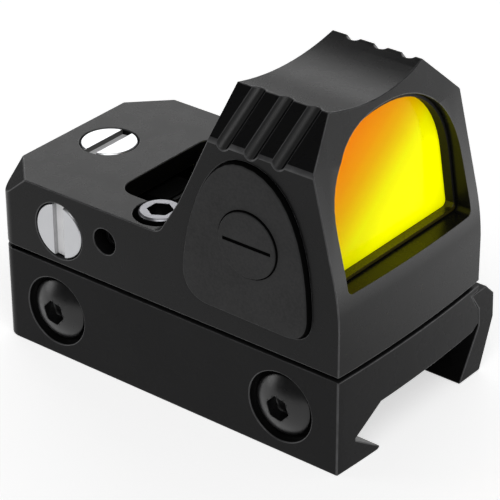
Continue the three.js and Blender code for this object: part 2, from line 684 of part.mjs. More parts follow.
// ---------------------------------------------------------------- electronics
function battery() {
  const { x, radius, bottom, height } = BATTERY;
  const top = bottom + height;
  return upright(x, 0, [
    [0, bottom], [radius - 0.2, bottom], [radius, bottom + 0.2], [radius, top - 0.5],
    [radius - 0.4, top - 0.35], [radius - 1.2, top - 0.3], [radius - 1.4, top], [0, top],
  ], 40);
}

// A strip above the cell with two ribs that press on it.
function springContact() {
  const top = BATTERY.pocketTop - 0.04;
  const halfWidth = 1.6;
  const strip = { from: 2, to: 16, thickness: 0.15 };
  const rib = { from: [5.7, 11.5], length: 0.8, depth: 0.38 };
  return unite(
    box([strip.from, strip.to, -halfWidth, halfWidth, top - strip.thickness, top]),
    ...rib.from.map((x) => box([x, x + rib.length, -halfWidth, halfWidth, top - rib.depth, top - 0.1])),
  );
}

function sideContact() {
  return unite(...SIDE_CONTACT.map(box));
}

function circuitBoard() {
  return unite(box(CIRCUIT_BOARD), ...BOARD_PARTS.map(box));
}

// ---------------------------------------------------------------- assembly
const FINISH = {
  anodised: { color: 0x2b2b2c, roughness: 0.5, metalness: 0.6 },
  blackSteel: { color: 0x1c1c1d, roughness: 0.4, metalness: 0.8 },
  brightSteel: { color: 0xc8c9cb, roughness: 0.25, metalness: 1.0 },
  greySteel: { color: 0x8f9094, roughness: 0.3, metalness: 1.0 },
  rubber: { color: 0x303031, roughness: 0.8, metalness: 0.0 },
  seal: { color: 0x0b0b0b, roughness: 0.7, metalness: 0.0 },
  coatedGlass: { color: 0xffc400, roughness: 0.05, metalness: 0.2 },
  clearGlass: { color: 0xcfe4ea, roughness: 0.03, metalness: 0.0 },
  brass: { color: 0xb08d4a, roughness: 0.35, metalness: 1.0 },
  board: { color: 0x1d5a34, roughness: 0.5, metalness: 0.0 },
  polymer: { color: 0x141414, roughness: 0.6, metalness: 0.0 },
  polyimide: { color: 0xa8641c, roughness: 0.4, metalness: 0.0 },
  emitter: { color: 0xb3150c, roughness: 0.2, metalness: 0.0 },
};

const sight = new THREE.Group();

function place(name, geometry, finish) {
  const mesh = new THREE.Mesh(geometry, new THREE.MeshStandardMaterial(FINISH[finish]));
  mesh.name = name;
  sight.add(mesh);
}

place('mount_body', mountBody(), 'anodised');
place('clamp_plate', clampPlate(), 'anodised');
place('clamp_screw_front', crossScrew(CROSS_SCREW_X), 'blackSteel');
place('clamp_screw_rear', crossScrew(-CROSS_SCREW_X), 'blackSteel');
place('sealing_plate', sealingPlate(), 'seal');
place('mounting_screw_right', sightScrew(-1), 'greySteel');
place('mounting_screw_left', sightScrew(1), 'greySteel');
const [rightPin, leftPin] = recoilPins();
place('recoil_pin_right', rightPin, 'greySteel');
place('recoil_pin_left', leftPin, 'greySteel');

place('housing', housing(), 'anodised');
place('lens_seal_frame', lensFrame(), 'seal');
place('lens_front_element', lensElement(LENS_X), 'coatedGlass');
place('lens_rear_element', lensElement(LENS_X - LENS_THICKNESS - FIT_GAP), 'clearGlass');

place('windage_screw', windageScrew(), 'brightSteel');
place('elevation_screw', elevationScrew(), 'brightSteel');
const sealInset = ADJUSTER_HEAD + SEAL_SPACE / 2;
place('windage_screw_seal', sealRing().rotateX(Math.PI / 2)
  .translate(WINDAGE.x, -HALF_WIDTH + sealInset, WINDAGE.z), 'seal');
place('elevation_screw_seal', sealRing().translate(ELEVATION_X, 0, DECK_TOP - sealInset), 'seal');
place('lock_screw', lockScrew(), 'blackSteel');
place('windage_block', windageBlock(), 'blackSteel');
place('emitter_carriage', emitterCarriage(), 'blackSteel');
place('led_board', box(LED_BOARD), 'board');
place('led_emitter', box(LED_EMITTER), 'emitter');
place('emitter_aperture', emitterAperture(), 'polymer');

place('minus_button_pad', buttonPad(), 'rubber');
place('plus_button_pad', mirrored(buttonPad()), 'rubber');
const minusMark = [markBar(MARK.minus, MARK.halfWidth)];
const plusMark = [markBar(MARK.plus, MARK.halfWidth), markBar(MARK.halfWidth, MARK.plus)];
place('minus_button_key', buttonKey(minusMark), 'rubber');
place('plus_button_key', mirrored(buttonKey(plusMark)), 'rubber');
place('minus_switch_dome', switchDome(), 'greySteel');
place('plus_switch_dome', mirrored(switchDome()), 'greySteel');
place('minus_switch_flex', switchFlex(), 'polyimide');
place('plus_switch_flex', mirrored(switchFlex()), 'polyimide');

place('battery', battery(), 'brightSteel');
place('battery_spring_contact', springContact(), 'brass');
place('battery_side_contact', sideContact(), 'brass');
place('circuit_board', circuitBoard(), 'board');
place('control_chip', box(CONTROL_CHIP), 'polymer');

export default sight;
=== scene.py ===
# Miniature reflex red dot sight on a rail clamp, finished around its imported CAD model.
# Pieces are drawn in millimetres in the CAD frame and placed in metres.
import json
import math

import bmesh
import bpy
from mathutils import Matrix, Vector


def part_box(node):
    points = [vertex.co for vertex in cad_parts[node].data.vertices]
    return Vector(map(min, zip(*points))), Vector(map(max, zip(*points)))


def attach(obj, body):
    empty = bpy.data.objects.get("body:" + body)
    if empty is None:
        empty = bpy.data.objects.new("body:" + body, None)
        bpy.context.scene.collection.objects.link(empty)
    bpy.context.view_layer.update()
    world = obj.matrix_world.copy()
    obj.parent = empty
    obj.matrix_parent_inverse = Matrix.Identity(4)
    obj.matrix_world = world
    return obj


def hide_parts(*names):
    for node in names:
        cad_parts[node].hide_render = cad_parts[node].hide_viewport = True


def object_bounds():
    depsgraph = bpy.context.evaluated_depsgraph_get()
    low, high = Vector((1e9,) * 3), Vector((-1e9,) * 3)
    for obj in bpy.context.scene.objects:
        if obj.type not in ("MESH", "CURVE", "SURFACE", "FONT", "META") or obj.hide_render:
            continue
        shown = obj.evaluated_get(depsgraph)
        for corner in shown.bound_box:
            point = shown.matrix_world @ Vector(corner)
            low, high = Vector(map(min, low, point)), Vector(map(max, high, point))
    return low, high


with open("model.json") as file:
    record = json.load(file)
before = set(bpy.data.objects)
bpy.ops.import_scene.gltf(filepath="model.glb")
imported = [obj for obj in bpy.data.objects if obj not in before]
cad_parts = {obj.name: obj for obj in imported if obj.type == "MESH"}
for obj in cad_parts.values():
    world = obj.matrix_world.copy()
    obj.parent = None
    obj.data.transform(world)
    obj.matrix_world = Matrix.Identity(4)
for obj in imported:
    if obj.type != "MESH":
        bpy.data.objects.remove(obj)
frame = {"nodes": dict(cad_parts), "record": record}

CAD_LOW, CAD_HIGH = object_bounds()
RECORD = frame["record"]
BODY_OF = {node: body for body, nodes in RECORD["behaviour"]["bodies"].items() for node in nodes}

# ------------------------------------------------------------------ sizes in millimetres
MM = 0.001
EDGE = 0.12                    # usual rounding of a machined edge
FINE_EDGE = 0.05               # rounding of small turned and moulded pieces
THIN_EDGE = 0.04               # rounding of pins, contacts, glass and sealing beads
FILM_EDGE = 0.02               # rounding of films and of the light source
BOARD_EDGE = 0.03              # rounding of boards, chips, rings and the set screw
SHOULDER_FILLET = 0.34         # under the shoulders of the hood's grips
PAD_EDGE = 0.3                 # outer edge of the rubber pads
BATTERY_EDGE = 0.06
SHARP_ANGLE = math.radians(25)
FLAT_ANGLE = math.radians(0.08)
WELD = 1e-4                    # points closer than this are one point
THREAD_STEPS = 6               # profile rows to one turn of a thread
BEYOND = 1                     # how far a cutting tool reaches past the face it enters
INSET = 0.1                    # a place this far behind an outer face counts as inside

BUTTON_HEAD = {
    "rim": 1.2, "dome": 1.2, "shaft": 1.95, "hex": 2.5, "turn": 42, "floor": 0.35,
    "pitch": 0.7, "thread": 0.36, "thread_start": 9.0, "tip": 1.3,
}
CAP_HEAD = {
    "height": 3.01, "shaft": 1.45, "hex": 2.5, "depth": 1.6, "chamfer": 0.2,
    "pitch": 0.5, "thread": 0.26, "thread_start": 7.0, "tip": 1.0,
}
ADJUSTER = {
    "head": 1.55, "shaft": 1.2, "slot": 1.45, "depth": 0.6, "chamfer": 0.12,
    "pitch": 0.35, "thread": 0.16, "tip": 0.9,
}
SET_SCREW = {"hex": 1.5, "depth": 1.5, "chamfer": 0.25, "pitch": 0.5, "thread": 0.22, "tip": 0.7}
SLOT_REACH = 10                # half the length of the tool that cuts a slot
KEY_HOLE = 3.9                 # the pad's round hole and the rim next to it


def box_mm(node):
    """The CAD node's lowest and highest corner in millimetres."""
    low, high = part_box(node)
    return low / MM, high / MM


def middle_mm(node):
    low, high = box_mm(node)
    return (low + high) / 2


# Zones that get their own finish, some of them painted shade, from the CAD's sizes
DECK_TOP = box_mm("elevation_screw")[1].z
HALF_WIDTH = box_mm("housing")[1].y
SHOULDER_Z = 27.7              # lower edge of the grips' shoulders
BAY_REACH = 21.5               # the hollows under the deck end within this distance of the middle
WELL = {"rear": -10.4, "front": 14.3, "half_width": 7.9}
WINDOW = {"rear": 19.5, "half_width": 10.8, "bottom": 14, "top": 30.8}
GRIP = {"bottom": 27, "rear": 5, "front": 19.5, "inner": 7.5, "first_groove": 6, "groove_height": 1.5}
HOOD_BEND = (13, 17)           # heights between which the front's gloss grows
CHANNEL = {"top": 0.1, "right": -9.8, "left": 11.7}
COUNTERBORE_REACH = 4.2
RIGHT_WALL = (0.02 - HALF_WIDTH, -5)  # from just inside the mount's right-hand face to the channel
JAW_TOP = 2.5
SILL_HEIGHT = 0.8              # of the sealing bead along the lower edge of the glass


# ------------------------------------------------------------------ mesh helpers
def to_piece(bm, name):
    """Ends a mesh under construction as an object in the scene."""
    bmesh.ops.recalc_face_normals(bm, faces=bm.faces)
    mesh = bpy.data.meshes.new(name)
    bm.to_mesh(mesh)
    bm.free()
    piece = bpy.data.objects.new(name, mesh)
    bpy.context.scene.collection.objects.link(piece)
    return piece


def apply_modifiers(piece):
    """Makes the piece's mesh what its modifiers show."""
    graph = bpy.context.evaluated_depsgraph_get()
    shaped = bpy.data.meshes.new_from_object(
        piece.evaluated_get(graph), preserve_all_data_layers=True, depsgraph=graph
    )
    piece.modifiers.clear()
    piece.data = shaped
    return piece


def cut_away(piece, *tools):
    """Takes each tool's solid out of the piece."""
    for tool in tools:
        boolean = piece.modifiers.new("cut", "BOOLEAN")
        boolean.object = tool
        boolean.operation = "DIFFERENCE"
        boolean.solver = "EXACT"
        apply_modifiers(piece)
        bpy.data.objects.remove(tool)
    return piece


def weigh_edges(piece, width_of, widest):
    """Stores how far each sharp outer edge is rounded, as a share of the widest rounding."""
    bm = bmesh.new()
    bm.from_mesh(piece.data)
    layer = bm.edges.layers.float.get("bevel_weight_edge") or bm.edges.layers.float.new("bevel_weight_edge")
    for edge in bm.edges:
        sharp = edge.is_manifold and edge.is_convex and edge.calc_face_angle(0) > SHARP_ANGLE
        edge[layer] = width_of(edge) / widest if sharp else 0.0
    bm.to_mesh(piece.data)
    bm.free()


def round_edges(piece, width_of, widest, segments, edge_material=0):
    """Rounds the sharp outer edges; the edge material -1 keeps each face's own."""
    weigh_edges(piece, width_of, widest)
    for polygon in piece.data.polygons:
        polygon.use_smooth = True
    bevel = piece.modifiers.new("round", "BEVEL")
    bevel.width = widest
    bevel.segments = segments
    bevel.limit_method = "WEIGHT"
    bevel.use_clamp_overlap = False
    bevel.miter_outer = "MITER_ARC"
    bevel.material = edge_material
    normals = piece.modifiers.new("normals", "WEIGHTED_NORMAL")
    normals.keep_sharp = True
    return apply_modifiers(piece)


def put_in_place(piece, node):
    """Makes the piece stand for its CAD node, on that node's body."""
    piece.data.transform(Matrix.Scale(MM, 4))
    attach(piece, BODY_OF[node])
    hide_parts(node)
    return piece


def settle(piece, node, finishes, width_of=None, edge=EDGE, segments=2):
    """Rounds the piece's edges, paints it and puts it in the place of a CAD node.
    The finishes are the face's, the rounded edges' and any others that the faces name."""
    for finish in finishes:
        piece.data.materials.append(finish)
    round_edges(piece, width_of or (lambda _: edge), edge, segments, min(1, len(finishes) - 1))
    return put_in_place(piece, node)


def settle_painted(piece, node, finishes, edge, width_of=None, segments=2):
    """Settles a piece whose faces already name their finishes; its rounded edges take the face's own."""
    for finish in finishes:
        piece.data.materials.append(finish)
    round_edges(piece, width_of or (lambda _: edge), edge, segments, -1)
    return put_in_place(piece, node)


def machined_copy(node):
    """The CAD node in millimetres with its flat facets joined again."""
    bm = bmesh.new()
    bm.from_mesh(frame["nodes"][node].data)
    bm.transform(Matrix.Scale(1 / MM, 4))
    bmesh.ops.remove_doubles(bm, verts=bm.verts, dist=WELD)
    bmesh.ops.dissolve_limit(bm, angle_limit=FLAT_ANGLE, verts=bm.verts, edges=bm.edges)
    for face in bm.faces:
        face.material_index = 0
    return to_piece(bm, "finished_" + node)


def paint_faces(piece, chosen, index):
    """Gives the chosen faces one of the piece's finishes, by its place in the list."""
    for polygon in piece.data.polygons:
        if chosen(polygon):
            polygon.material_index = index


def on_axis(axis, across, height):
    """A point from its place across an axis (two numbers) and its height along it."""
    a, b = across
    return Vector((b, height, a)) if axis == "Y" else Vector((a, b, height))


def lathe(name, profile, axis, centre, sides=72, pitch=1.0):
    """A solid of revolution from rows of radius and height.
    A row's third number is the depth of a right-hand thread there."""
    bm = bmesh.new()
    rings = []
    for radius, height, *depth in profile:
        if radius == 0:
            rings.append([bm.verts.new(on_axis(axis, (0, 0), height))])
            continue
        ring = []
        for j in range(sides):
            ridge = abs(2 * ((height / pitch - j / sides) % 1) - 1)
            r = radius - (depth[0] * ridge if depth else 0)
            angle = 2 * math.pi * j / sides
            ring.append(bm.verts.new(on_axis(axis, (r * math.cos(angle), r * math.sin(angle)), height)))
        rings.append(ring)
    for lower, upper in zip(rings, rings[1:]):
        for j in range(sides):
            k = (j + 1) % sides
            corners = [
                lower[j % len(lower)], lower[k % len(lower)], upper[k % len(upper)], upper[j % len(upper)],
            ]
            bm.faces.new(list(dict.fromkeys(corners)))
    bmesh.ops.translate(bm, verts=bm.verts, vec=centre)
    return to_piece(bm, name)


def thread_rows(radius, start, end, pitch, depth):
    """Profile rows of a thread, with a plain row at both ends."""
    count = max(2, round(abs(end - start) / pitch * THREAD_STEPS))
    rows = [(radius, start + (end - start) * i / count, depth) for i in range(count + 1)]
    return [(radius, start), *rows[1:-1], (radius - depth, end)]


def prism(name, outline, axis, centre, start, end):
    """A straight bar along an axis, with the outline as its section."""
    bm = bmesh.new()
    bottom, top = ([bm.verts.new(on_axis(axis, point, h)) for point in outline] for h in (start, end))
    bm.faces.new(bottom)
    bm.faces.new(top)
    for i in range(len(outline)):
        j = (i + 1) % len(outline)
        bm.faces.new([bottom[i], bottom[j], top[j], top[i]])
    bmesh.ops.translate(bm, verts=bm.verts, vec=centre)
    return to_piece(bm, name)


def hexagon(across_flats, turn):
    """Corners of a hexagon about the origin, turned by some degrees."""
    corner = across_flats / math.sqrt(3)
    angles = [math.radians(turn + 60 * i) for i in range(6)]
    return [(corner * math.cos(a), corner * math.sin(a)) for a in angles]


def bar(half_a, half_b):
    """Corners of a rectangle about the origin."""
    return [(-half_a, -half_b), (half_a, -half_b), (half_a, half_b), (-half_a, half_b)]


# ------------------------------------------------------------------ material helpers
class Shader:
    """A node material: its Principled shader and short ways to feed it.
    Places and scales are in millimetres."""

    def __init__(self, name, colour, roughness, metallic=0.0, **more):
        self.material = bpy.data.materials.new(name)
        self.material.use_nodes = True
        self.tree = self.material.node_tree
        self.surface = self.tree.nodes["Principled BSDF"]
        self.set("Base Color", (*colour, 1))
        self.set("Roughness", roughness)
        self.set("Metallic", metallic)
        for socket, value in more.items():
            self.set(socket.replace("_", " "), value)
        self.height = None

    def set(self, socket, value):
        self.surface.inputs[socket].default_value = value

    def feed(self, socket, output):
        self.tree.links.new(output, self.surface.inputs[socket])

    def node(self, kind, inputs=(), **settings):
        made = self.tree.nodes.new("ShaderNode" + kind)
        for key, value in settings.items():
            setattr(made, key, value)
        for socket, value in dict(inputs).items():
            if isinstance(value, bpy.types.NodeSocket):
                self.tree.links.new(value, made.inputs[socket])
            else:
                made.inputs[socket].default_value = value
        return made

    def place(self, stretch=(1, 1, 1), origin=(0, 0, 0)):
        """Object coordinates in millimetres from the origin, stretched."""
        coordinates = self.node("TexCoord").outputs["Object"]
        scale = Vector(stretch) / MM
        location = -Vector(origin) * Vector(stretch)
        return self.node("Mapping", {"Vector": coordinates, "Scale": scale, "Location": location}).outputs[0]

    def noise(self, scale, detail=3.0, stretch=(1, 1, 1), distortion=0.0):
        inputs = {"Vector": self.place(stretch), "Scale": scale, "Detail": detail, "Distortion": distortion}
        return self.node("TexNoise", inputs).outputs["Fac"]

    def spread(self, value, low, high, from_low=0.3, from_high=0.7):
        """The value stretched to run from low to high."""
        inputs = {"Value": value, 1: from_low, 2: from_high, 3: low, 4: high}
        return self.node("MapRange", inputs).outputs[0]

    def blend(self, share, first, second):
        inputs = {"Factor": share, "A": (*first, 1), "B": (*second, 1)}
        mix = self.node("Mix", data_type="RGBA")
        for socket in mix.inputs:
            if socket.identifier in ("A_Color", "B_Color"):
                socket.default_value = inputs[socket.name]
        self.tree.links.new(share, mix.inputs[0])
        return mix.outputs[2]

    def bump(self, height, depth):
        """Adds a layer of relief, its depth in millimetres."""
        inputs = {"Height": height, "Distance": depth * MM, "Strength": 1.0}
        if self.height:
            inputs["Normal"] = self.height
        self.height = self.node("Bump", inputs).outputs[0]
        self.feed("Normal", self.height)


# ------------------------------------------------------------------ materials
def anodised(name, dark, light, gloss, roughness=(0.26, 0.29), rise=None):
    """Black hard-anodised aluminium over a fine bead-blasted surface.
    With a rise (top gloss, low height, high height) the gloss grows upwards."""
    shader = Shader(name, light, roughness[0], Specular_IOR_Level=gloss)
    clouds = shader.noise(0.11, 4)
    shader.feed("Base Color", shader.blend(shader.spread(clouds, 0, 1), dark, light))
    shader.feed("Roughness", shader.spread(shader.noise(0.35, 3), *roughness))
    if rise:
        top_gloss, low, high = rise
        height = shader.node("SeparateXYZ", {"Vector": shader.place()}).outputs["Z"]
        shader.feed("Specular IOR Level", shader.spread(height, gloss, top_gloss, low, high))
    shader.bump(shader.noise(8, 2), 0.0005)
    return shader.material


def worn_edge(name, dark, light):
    """Edge where the anodising is thinner, rubbed lighter here and there."""
    shader = Shader(name, light, 0.34, Specular_IOR_Level=0.4)
    rubbed = shader.spread(shader.noise(0.55, 6, distortion=0.6), 0, 1, 0.35, 0.68)
    shader.feed("Base Color", shader.blend(rubbed, dark, light))
    shader.feed("Roughness", shader.spread(shader.noise(3, 4), 0.28, 0.42))
    shader.bump(shader.noise(5, 4), 0.002)
    return shader.material


def black_oxide(name):
    """Oiled black oxide on steel screws: dark, satin, a little uneven."""
    shader = Shader(name, (0.03, 0.03, 0.031), 0.3, 0.0, Specular_IOR_Level=0.5)
    shade = shader.spread(shader.noise(0.5, 4), 0, 1)
    shader.feed("Base Color", shader.blend(shade, (0.003, 0.003, 0.0032), (0.0055, 0.0055, 0.0058)))
    shader.feed("Roughness", shader.spread(shader.noise(2.2, 4), 0.27, 0.34))
    shader.bump(shader.noise(9, 3), 0.0004)
    return shader.material


def rubber(name, dark, light):
    """Moulded silicone rubber with a fine spark-eroded grain."""
    shader = Shader(name, light, 0.7, Specular_IOR_Level=0.3)
    shader.feed("Base Color", shader.blend(shader.spread(shader.noise(0.25, 3), 0, 1), dark, light))
    shader.feed("Roughness", shader.spread(shader.noise(4, 3), 0.62, 0.78))
    shader.bump(shader.noise(11, 2), 0.0025)
    return shader.material


def turned_steel(name, light, dark, centre, roughness, axis="Y"):
    """Nickel-plated steel with fine turning rings about the screw's axis."""
    shader = Shader(name, light, roughness, 1.0)
    tone = shader.spread(shader.noise(0.3, 2), 0, 1)
    shader.feed("Base Color", shader.blend(tone, dark, light))
    rings = shader.node(
        "TexWave", {"Vector": shader.place(origin=centre), "Scale": 2.2, "Distortion": 0.4, "Detail": 2.0},
        wave_type="RINGS", rings_direction=axis,
    ).outputs["Fac"]
    shader.feed("Roughness", shader.spread(rings, roughness - 0.02, roughness + 0.03, 0, 1))
    shader.bump(rings, 0.0001)
    return shader.material


def brass(name):
    """Drawn brass, tarnished in patches."""
    shader = Shader(name, (0.62, 0.42, 0.16), 0.35, 1.0)
    tarnish = shader.spread(shader.noise(0.6, 5), 0, 1)
    shader.feed("Base Color", shader.blend(tarnish, (0.42, 0.27, 0.1), (0.68, 0.48, 0.2)))
    shader.feed("Roughness", shader.spread(shader.noise(2, 4), 0.28, 0.45))
    shader.bump(shader.noise(3, 3, stretch=(6, 1, 1)), 0.0015)
    return shader.material


def coated_glass(name):
    """Front element: a mirror coating, orange at its upper right and yellow at its lower left, partly the
    coating's colour and partly painted light; it also glows in that colour, a painted light.
    """
    shader = Shader(name, (1, 0.8, 0), 0.12, Specular_IOR_Level=0.01)
    lean = 0.58
    place = shader.node("SeparateXYZ", {"Vector": shader.place(origin=middle_mm("lens_front_element"))})
    across = shader.node("Math", {0: place.outputs["Y"], 1: lean}, operation="MULTIPLY").outputs[0]
    slope = shader.node("Math", {0: across, 1: place.outputs["Z"]}, operation="SUBTRACT").outputs[0]
    share = shader.spread(slope, 0, 1, -7, 6)
    ramp = shader.node("ValToRGB", {"Fac": share})
    stops = [
        (0.0, (0.7, 0.19, 0)), (0.23, (0.66, 0.25, 0)), (0.385, (0.64, 0.33, 0)),
        (0.54, (0.65, 0.47, 0)), (0.69, (0.69, 0.64, 0)), (0.845, (0.78, 0.78, 0)), (1.0, (1, 1, 0)),
    ]
    elements = ramp.color_ramp.elements
    while len(elements) < len(stops):
        elements.new(0.5)
    for element, (position, colour) in zip(elements, stops):
        element.position = position
        element.color = (*colour, 1)
    shader.feed("Base Color", ramp.outputs["Color"])
    # painted light: the coating glows in its own colour
    shader.feed("Emission Color", ramp.outputs["Color"])
    shader.set("Emission Strength", 0.5)
    shader.feed("Roughness", shader.spread(shader.noise(0.4, 3), 0.1, 0.15))
    shader.bump(shader.noise(0.12, 1), 0.002)
    return shader.material


def clear_glass(name):
    """Uncoated optical glass with faint waviness."""
    shader = Shader(name, (0.75, 0.86, 0.9), 0.02, 0.0, Transmission_Weight=1.0, IOR=1.52)
    shader.feed("Roughness", shader.spread(shader.noise(0.5, 3), 0.01, 0.04))
    shader.bump(shader.noise(0.15, 1), 0.001)
    return shader.material


def circuit_board_resin(name):
    """Green solder mask over a pattern of tracks."""
    shader = Shader(name, (0.01, 0.09, 0.03), 0.35)
    tracks = shader.node(
        "TexBrick", {"Vector": shader.place(), "Scale": 0.5, "Mortar Size": 0.03, "Mortar Smooth": 0.2},
    ).outputs["Fac"]
    shader.feed("Base Color", shader.blend(tracks, (0.008, 0.075, 0.025), (0.02, 0.16, 0.05)))
    shader.feed("Roughness", shader.spread(shader.noise(3, 3), 0.3, 0.42))
    shader.bump(tracks, 0.02)
    return shader.material


def moulded(name, dark, light, roughness, **more):
    """Plain moulded plastic, film or sealing compound."""
    shader = Shader(name, light, roughness, **more)
    shader.feed("Base Color", shader.blend(shader.spread(shader.noise(0.7, 4), 0, 1), dark, light))
    shader.feed("Roughness", shader.spread(shader.noise(3, 3), roughness - 0.06, roughness + 0.08))
    shader.bump(shader.noise(8, 2), 0.002)
    return shader.material


# ------------------------------------------------------------------ housing and mount
def near(value, target, reach=0.06):
    return abs(value - target) < reach


def housing_edge_width(edge):
    """Soft under the grips' shoulders; fine inside, round the window and in the grooves."""
    a, b = (vertex.co for vertex in edge.verts)
    rear, front = min(a.x, b.x), max(a.x, b.x)
    bottom, top = min(a.z, b.z), max(a.z, b.z)
    across, along = max(abs(a.y), abs(b.y)), max(abs(a.x), abs(b.x))
    under_grip = near(a.z, SHOULDER_Z) and near(b.z, SHOULDER_Z)
    if under_grip and min(abs(a.y), abs(b.y)) > HALF_WIDTH - INSET:
        return SHOULDER_FILLET
    inside = top < DECK_TOP - INSET and across < HALF_WIDTH - INSET and along < BAY_REACH
    framed = rear > WINDOW["rear"] and across < WINDOW["half_width"]
    window = framed and WINDOW["bottom"] < bottom and top < WINDOW["top"]
    upright = bottom > GRIP["bottom"] and top - bottom > GRIP["groove_height"]
    groove = upright and GRIP["first_groove"] < rear and front < GRIP["front"]
    return FINE_EDGE if inside or window or groove else EDGE


def make_housing(finishes):
    """The shell, with painted shade in the well and its own finish in the grooves, on the rear facets and on
    the front.
    """

    def on_front(polygon):
        return polygon.normal.x > 0.9 and polygon.center.x > 15

    def in_well(polygon):
        c = polygon.center
        return WELL["rear"] < c.x < WELL["front"] and abs(c.y) < WELL["half_width"] and c.z < DECK_TOP - INSET

    def in_groove(polygon):
        c, normal = polygon.center, polygon.normal
        on_grip = c.z > GRIP["bottom"] and GRIP["rear"] < c.x < GRIP["front"] and abs(c.y) > GRIP["inner"]
        return on_grip and abs(normal.x) > 0.06 and abs(normal.y) > 0.2

    def on_rear_facet(polygon):
        normal = polygon.normal
        return normal.x < -0.3 and abs(normal.y) > 0.3 and normal.z > 0.3

    piece = machined_copy("housing")
    paint_faces(piece, on_front, 5)
    # painted shade: the well under the glass is made near black
    paint_faces(piece, in_well, 2)
    paint_faces(piece, in_groove, 3)
    paint_faces(piece, on_rear_facet, 4)
    return settle(piece, "housing", finishes, housing_edge_width, SHOULDER_FILLET, segments=3)


def make_mount(finishes):
    """The rail mount, with painted shade in the screws' counterbores and in the rail's channel."""
    screw = middle_mm("clamp_screw_front")

    def in_counterbore(polygon):
        c = polygon.center
        off_axis = math.hypot(abs(c.x) - screw.x, c.z - screw.z)
        return RIGHT_WALL[0] < c.y < RIGHT_WALL[1] and off_axis < COUNTERBORE_REACH

    def in_channel(polygon):
        c = polygon.center
        under_seat = c.z < CHANNEL["top"] and CHANNEL["right"] < c.y < CHANNEL["left"]
        return under_seat and abs(polygon.normal.x) < 0.5

    piece = machined_copy("mount_body")
    # painted shade: the rail's channel is made darker
    paint_faces(piece, in_channel, 3)
    # painted shade: the counterbores round the clamp screws are made near black
    paint_faces(piece, in_counterbore, 2)
    return settle(piece, "mount_body", finishes)


def make_clamp_plate(finishes):
    """The moving jaw, with painted shade where it faces the rail."""

    def faces_rail(polygon):
        return polygon.normal.y < -0.4 and polygon.center.z < JAW_TOP

    piece = machined_copy("clamp_plate")
    # painted shade: the jaw's face towards the rail is made darker
    paint_faces(piece, faces_rail, 2)
    return settle(piece, "clamp_plate", finishes)


def make_lens_frame(finishes):
    """Bead of sealant round the glass, glossy along the sill, duller up the sides, and on its end face duller
    but painted lighter, a painted light over the shade there.
    """
    node = "lens_seal_frame"
    sill = box_mm(node)[0].z + SILL_HEIGHT
    piece = machined_copy(node)
    paint_faces(piece, lambda polygon: polygon.center.z > sill, 2)
    # painted light: the sill's end face is made lighter olive-brown
    paint_faces(piece, lambda polygon: polygon.normal.x > 0.7 and polygon.center.z < sill, 1)
    return settle_painted(piece, node, finishes, THIN_EDGE)


def make_plain(node, finish, edge):
    """A piece of one finish, shaped like its CAD node."""
    return settle(machined_copy(node), node, [finish], edge=edge)


# ------------------------------------------------------------------ screws
def screw_axis(node, axis):
    """Where a screw's axis crosses the plane that it stands on."""
    middle = middle_mm(node)
    return Vector((middle.x, 0, middle.z)) if axis == "Y" else Vector((middle.x, middle.y, 0))


def head_radius(node):
    low, high = box_mm(node)
    return (high.x - low.x) / 2


def make_clamp_screw(node, finish):
    """Button-head screw across the mount, threaded where it passes the clamp plate."""
    low, high = box_mm(node)
    centre, head = screw_axis(node, "Y"), head_radius(node)
    dome, shaft, pitch = BUTTON_HEAD["dome"], BUTTON_HEAD["shaft"], BUTTON_HEAD["pitch"]
    rim = low.y + dome
    seat = rim + BUTTON_HEAD["rim"]
    sphere = (head ** 2 + dome ** 2) / (2 * dome)
    steps = 14
    cap = []
    for i in range(steps + 1):
        angle = math.asin(head / sphere) * i / steps
        cap.append((sphere * math.sin(angle), low.y + sphere * (1 - math.cos(angle))))
    start = BUTTON_HEAD["thread_start"]
    neck, chamfer = 0.25, 0.35
    profile = [
        *cap, (head, seat), (shaft, seat), (shaft, start),
        *thread_rows(shaft, start + neck, high.y - chamfer, pitch, BUTTON_HEAD["thread"]),
        (BUTTON_HEAD["tip"], high.y), (0, high.y),
    ]
    screw = lathe("finished_" + node, profile, "Y", centre, pitch=pitch)
    floor = rim + BUTTON_HEAD["floor"]
    key = hexagon(BUTTON_HEAD["hex"], BUTTON_HEAD["turn"])
    socket = prism("socket", key, "Y", centre, low.y - BEYOND, floor)
    cone_depth, cone_radius, overlap = 0.45, 1.1, 0.05
    cone = [(0, floor + cone_depth), (cone_radius, floor - overlap), (0, floor - overlap)]
    drill = lathe("drill", cone, "Y", centre, 32)
    return settle(cut_away(screw, socket, drill), node, [finish], edge=0.07)


def make_sight_screw(node, finishes):
    """Socket cap screw that holds the sight on its mount, bright on its top only; its socket and its side are
    painted shade.
    """
    low, high = box_mm(node)
    centre, head = screw_axis(node, "Z"), head_radius(node)
    top, shaft, chamfer, pitch = high.z, CAP_HEAD["shaft"], CAP_HEAD["chamfer"], CAP_HEAD["pitch"]
    seat = top - CAP_HEAD["height"]
    start = CAP_HEAD["thread_start"]
    profile = [
        (0, top), (head - chamfer, top), (head, top - chamfer), (head, seat), (shaft, seat), (shaft, start),
        *thread_rows(shaft, start - 0.2, low.z + 0.3, pitch, CAP_HEAD["thread"]),
        (CAP_HEAD["tip"], low.z), (0, low.z),
    ]
    screw = lathe("finished_" + node, profile, "Z", centre, pitch=pitch)
    key = hexagon(CAP_HEAD["hex"], 30)
    cut_away(screw, prism("socket", key, "Z", centre, top - CAP_HEAD["depth"], top + BEYOND))
    key_corner = CAP_HEAD["hex"] / math.sqrt(3)

    def in_shade(polygon):
        c = polygon.center - centre
        radius = math.hypot(c.x, c.y)
        in_socket = radius < key_corner and seat < c.z < top - 0.05
        on_side = radius > head - INSET and c.z < top - chamfer
        return in_socket or on_side

    # painted shade: the socket and the side of the head are made near black
    paint_faces(screw, in_shade, 1)
    return settle_painted(screw, node, finishes, FINE_EDGE)


